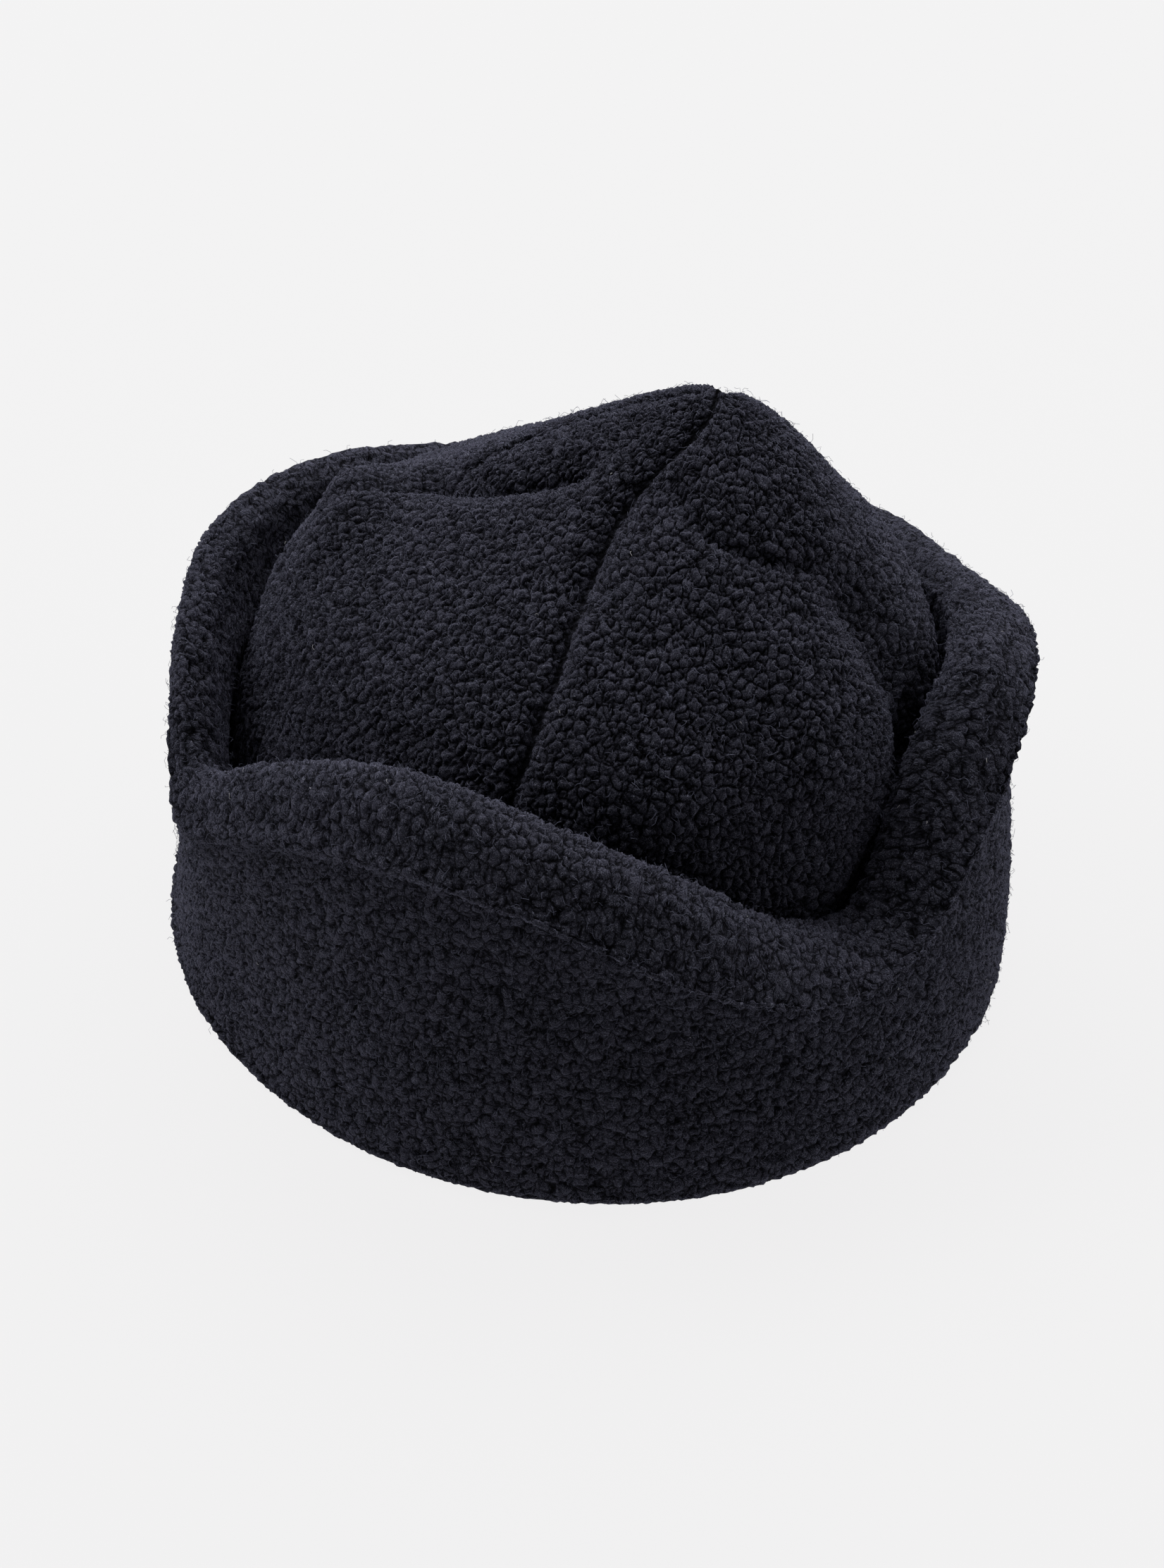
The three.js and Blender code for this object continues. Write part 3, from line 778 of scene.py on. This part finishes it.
# Points along a strand and sides round it
STRAND_POINTS, STRAND_SIDES = 4, 3
LEAST_SCALE, MOST_SCALE = 0.3, 0.85
# Most that a strand leans either way, in radians
STRAND_LEAN = 0.7
# How far a strand is bent from its arc, and over what length
STRAND_CURL = 1.1
CURL_PERIOD = 1.6
# Strands grow above these heights, on curls of more than this share of their full height
CROWN_SHOWS_ABOVE, CUFF_SHOWS_ABOVE = 60, 4
GROWS_ABOVE_NUB = 0.6
# Strands for each square millimetre
CROWN_STRANDS, CUFF_STRANDS = 0.075, 0.105
# They thin out towards the back between these two places along y
THIN_FROM, THIN_TO, THIN_SHARE = 20, 90, 0.25
LINT_SHARE = 0.006
STRAND_WOOL, STRAND_LINT = "#5c5e70", "#c9c8cc"


def loose_wool():
    """Material of the strands: grey-blue wool, and now and then pale lint."""
    material = bpy.data.materials.new("loose_wool_fibre")
    material.use_nodes = True
    tree = material.node_tree
    tree.nodes.clear()
    lot = add(tree, "ShaderNodeAttribute", attribute_name="lot").outputs["Fac"]
    lint = add(tree, "ShaderNodeMath", {0: lot, 1: LINT_SHARE}, operation="LESS_THAN").outputs[0]
    colour = add(tree, "ShaderNodeMix", {
        "Factor": lint, "A": linear(STRAND_WOOL), "B": linear(STRAND_LINT),
    }, data_type="RGBA")
    surface = add(tree, "ShaderNodeBsdfPrincipled", {
        "Base Color": colour.outputs[2],
        "Roughness": 0.7,
        "Specular IOR Level": 0.2,
    })
    out = add(tree, "ShaderNodeOutputMaterial")
    tree.links.new(surface.outputs[0], out.inputs["Surface"])
    return material


def strand_scatterer(material, pieces):
    """Geometry nodes that scatter curled strands over the raised curls of some pieces."""
    tree = bpy.data.node_groups.new("scatter_strands", "GeometryNodeTree")
    tree.interface.new_socket("Geometry", in_out="INPUT", socket_type="NodeSocketGeometry")
    for name in ("Density", "Shows above", "Radius", "Wander"):
        tree.interface.new_socket(name, in_out="INPUT", socket_type="NodeSocketFloat")
    tree.interface.new_socket("Seed", in_out="INPUT", socket_type="NodeSocketInt")
    tree.interface.new_socket("Geometry", in_out="OUTPUT", socket_type="NodeSocketGeometry")
    given = add(tree, "NodeGroupInput")
    cloths = add(tree, "GeometryNodeJoinGeometry")
    for piece in pieces:
        cloth = add(tree, "GeometryNodeObjectInfo", {"Object": piece})
        tree.links.new(cloth.outputs["Geometry"], cloths.inputs[0])
    share = add(tree, "GeometryNodeInputNamedAttribute", {"Name": "nub"}, data_type="FLOAT")
    raised = add(tree, "ShaderNodeMath", {0: share.outputs["Attribute"], 1: GROWS_ABOVE_NUB},
                 operation="GREATER_THAN")
    position = add(tree, "GeometryNodeInputPosition")
    along = add(tree, "ShaderNodeSeparateXYZ", {0: position.outputs[0]})
    above = add(tree, "ShaderNodeMath", {0: along.outputs[2], 1: given.outputs["Shows above"]},
                operation="GREATER_THAN")
    picked = add(tree, "ShaderNodeMath", {0: raised.outputs[0], 1: above.outputs[0]}, operation="MULTIPLY")
    thinned = add(tree, "ShaderNodeMapRange", {
        "Value": along.outputs[1], "From Min": THIN_FROM * MM, "From Max": THIN_TO * MM,
        "To Min": 1.0, "To Max": THIN_SHARE,
    })
    density = add(tree, "ShaderNodeMath", {0: thinned.outputs[0], 1: given.outputs["Density"]},
                  operation="MULTIPLY")
    roots = add(tree, "GeometryNodeDistributePointsOnFaces", {
        "Mesh": cloths.outputs[0], "Selection": picked.outputs[0], "Density": density.outputs[0],
        "Seed": given.outputs["Seed"],
    }, distribute_method="RANDOM")
    start, start_handle, end_handle, end = (
        [length * MM for length in point] for point in STRAND_ARC
    )
    arc = add(tree, "GeometryNodeCurvePrimitiveBezierSegment", {
        "Resolution": ARC_STEPS, "Start": start, "Start Handle": start_handle,
        "End Handle": end_handle, "End": end,
    })
    strand = add(tree, "GeometryNodeResampleCurve", {"Curve": arc.outputs[0], "Count": STRAND_POINTS})
    most_turn = (STRAND_LEAN, STRAND_LEAN, math.pi)
    lean = add(tree, "FunctionNodeRandomValue", {
        "Min": [-turn for turn in most_turn], "Max": most_turn, "Seed": given.outputs["Seed"],
    }, data_type="FLOAT_VECTOR")
    tilt = add(tree, "FunctionNodeEulerToRotation", {0: lean.outputs[0]})
    turned = add(tree, "FunctionNodeRotateRotation", {
        "Rotation": roots.outputs["Rotation"], "Rotate By": tilt.outputs[0],
    }, rotation_space="LOCAL")
    sizes = add(tree, "FunctionNodeRandomValue", {
        "Min": LEAST_SCALE, "Max": MOST_SCALE, "Seed": given.outputs["Seed"],
    }, data_type="FLOAT")
    strands = add(tree, "GeometryNodeInstanceOnPoints", {
        "Points": roots.outputs["Points"], "Instance": strand.outputs[0], "Rotation": turned.outputs[0],
        "Scale": sizes.outputs[1],
    })
    # each strand's own number, from which its material draws the lint
    chance = add(tree, "FunctionNodeRandomValue", {
        "Min": 0.0, "Max": 1.0, "Seed": given.outputs["Seed"],
    }, data_type="FLOAT")
    numbered = add(tree, "GeometryNodeStoreNamedAttribute", {
        "Geometry": strands.outputs[0], "Name": "lot", "Value": chance.outputs[1],
    }, data_type="FLOAT", domain="INSTANCE")
    real = add(tree, "GeometryNodeRealizeInstances", {"Geometry": numbered.outputs[0]})
    wander = add(tree, "ShaderNodeTexNoise", {"Scale": 1 / (CURL_PERIOD * MM), "Detail": 1.0})
    centred = add(tree, "ShaderNodeVectorMath", {0: wander.outputs["Color"], 1: (0.5, 0.5, 0.5)},
                  operation="SUBTRACT")
    offset = add(tree, "ShaderNodeVectorMath", {0: centred.outputs[0], "Scale": given.outputs["Wander"]},
                 operation="SCALE")
    curled = add(tree, "GeometryNodeSetPosition", {
        "Geometry": real.outputs[0], "Offset": offset.outputs[0],
    })
    ring = add(tree, "GeometryNodeCurvePrimitiveCircle", {
        "Resolution": STRAND_SIDES, "Radius": given.outputs["Radius"],
    })
    solid = add(tree, "GeometryNodeCurveToMesh", {
        "Curve": curled.outputs[0], "Profile Curve": ring.outputs[0],
    })
    dyed = add(tree, "GeometryNodeSetMaterial", {"Geometry": solid.outputs[0], "Material": material})
    out = add(tree, "NodeGroupOutput")
    tree.links.new(dyed.outputs[0], out.inputs[0])
    return tree


def stray_fibres(name, pieces, shows_above, strands, seed):
    """One piece of loose strands on the pieces that they grow from."""
    piece = bpy.data.objects.new(name, bpy.data.meshes.new(name + "_seed"))
    bpy.context.scene.collection.objects.link(piece)
    piece.data = made_real(
        piece, strand_scatterer(loose_wool(), pieces), density=strands / MM ** 2,
        shows_above=shows_above * MM, radius=STRAND_RADIUS * MM, wander=2 * STRAND_CURL * MM, seed=seed,
    )
    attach(piece, "root")


panels = [bpy.data.objects[name + "_fleece"] for name, *_ in CROWN_PANELS]
stray_fibres("crown_stray_fibres", panels, CROWN_SHOWS_ABOVE, CROWN_STRANDS, 3)
stray_fibres("cuff_stray_fibres", [cuff], CUFF_SHOWS_ABOVE, CUFF_STRANDS, 4)

# Floor, light and camera
# An opal light table under a large soft light from behind, with weaker ones from either side, and the
# camera at the photograph's angle and distance.
PHOTO_WIDTH, PHOTO_HEIGHT = 1652, 2225
CAMERA_AZIMUTH, CAMERA_ELEVATION = -27, 38
CAMERA_DISTANCE = 1200
FOCAL_PIXELS = 7200
AIM = (-16, -35.7, 72)
SENSOR = 36
# Half the width of the light table, and how far the camera sees, in metres
FLOOR_HALF = 60.0
SEES_TO = 200
TABLE_GLOW = 0.842
ROOM_GLOW = 0.06


def light_table():
    """Opal acrylic lit from beneath, so that shadows on it are faint."""
    material = bpy.data.materials.new("opal_acrylic_light_table")
    material.use_nodes = True
    shader = material.node_tree.nodes["Principled BSDF"]
    shader.inputs["Base Color"].default_value = (0.035, 0.037, 0.035, 1)
    shader.inputs["Roughness"].default_value = 1
    shader.inputs["Specular IOR Level"].default_value = 0
    shader.inputs["Emission Color"].default_value = (1, 0.993, 1, 1)
    shader.inputs["Emission Strength"].default_value = TABLE_GLOW
    return material


floor_mesh = bpy.data.meshes.new("floor")
floor_corners = [(x * FLOOR_HALF, y * FLOOR_HALF, 0) for x, y in ((-1, -1), (1, -1), (1, 1), (-1, 1))]
floor_mesh.from_pydata(floor_corners, [], [(0, 1, 2, 3)])
floor_mesh.materials.append(light_table())
floor = bpy.data.objects.new("floor", floor_mesh)
bpy.context.scene.collection.objects.link(floor)

camera_turn, camera_rise = math.radians(CAMERA_AZIMUTH), math.radians(CAMERA_ELEVATION)
back = Vector((
    math.sin(camera_turn) * math.cos(camera_rise),
    -math.cos(camera_turn) * math.cos(camera_rise),
    math.sin(camera_rise),
))
aim = Vector((AIM[0] + ORIGIN_SHIFT[0], AIM[1] + ORIGIN_SHIFT[1], AIM[2])) * MM
camera_data = bpy.data.cameras.new("camera")
camera_data.sensor_width = SENSOR
camera_data.lens = FOCAL_PIXELS / max(PHOTO_WIDTH, PHOTO_HEIGHT) * SENSOR
camera_data.clip_end = SEES_TO
camera = bpy.data.objects.new("camera", camera_data)
camera.location = aim + back * CAMERA_DISTANCE * MM
camera.rotation_euler = (-back).to_track_quat("-Z", "Y").to_euler()
bpy.context.scene.collection.objects.link(camera)
bpy.context.scene.camera = camera
bpy.context.scene.view_settings.view_transform = "Standard"


def soft_light(name, side, height, distance, size, power):
    """A square soft light aimed at the cap, at angles to the right of the camera and above the floor."""
    turn = camera_turn + math.radians(side)
    rise = math.radians(height)
    direction = Vector((
        math.sin(turn) * math.cos(rise),
        -math.cos(turn) * math.cos(rise),
        math.sin(rise),
    ))
    data = bpy.data.lights.new(name, "AREA")
    data.shape = "SQUARE"
    data.size = size
    data.energy = power
    light = bpy.data.objects.new(name, data)
    light.location = direction * distance
    light.rotation_euler = (-direction).to_track_quat("-Z", "Y").to_euler()
    bpy.context.scene.collection.objects.link(light)


soft_light("left_light", side=-105, height=48, distance=2.5, size=1.2, power=28)
soft_light("top_light", side=178, height=50, distance=2.5, size=3, power=108)
soft_light("right_light", side=108, height=18, distance=2.5, size=1.4, power=20)
world = bpy.data.worlds.new("studio")
world.use_nodes = True
world.node_tree.nodes["Background"].inputs["Color"].default_value = (1, 1, 1, 1)
world.node_tree.nodes["Background"].inputs["Strength"].default_value = ROOM_GLOW
bpy.context.scene.world = world
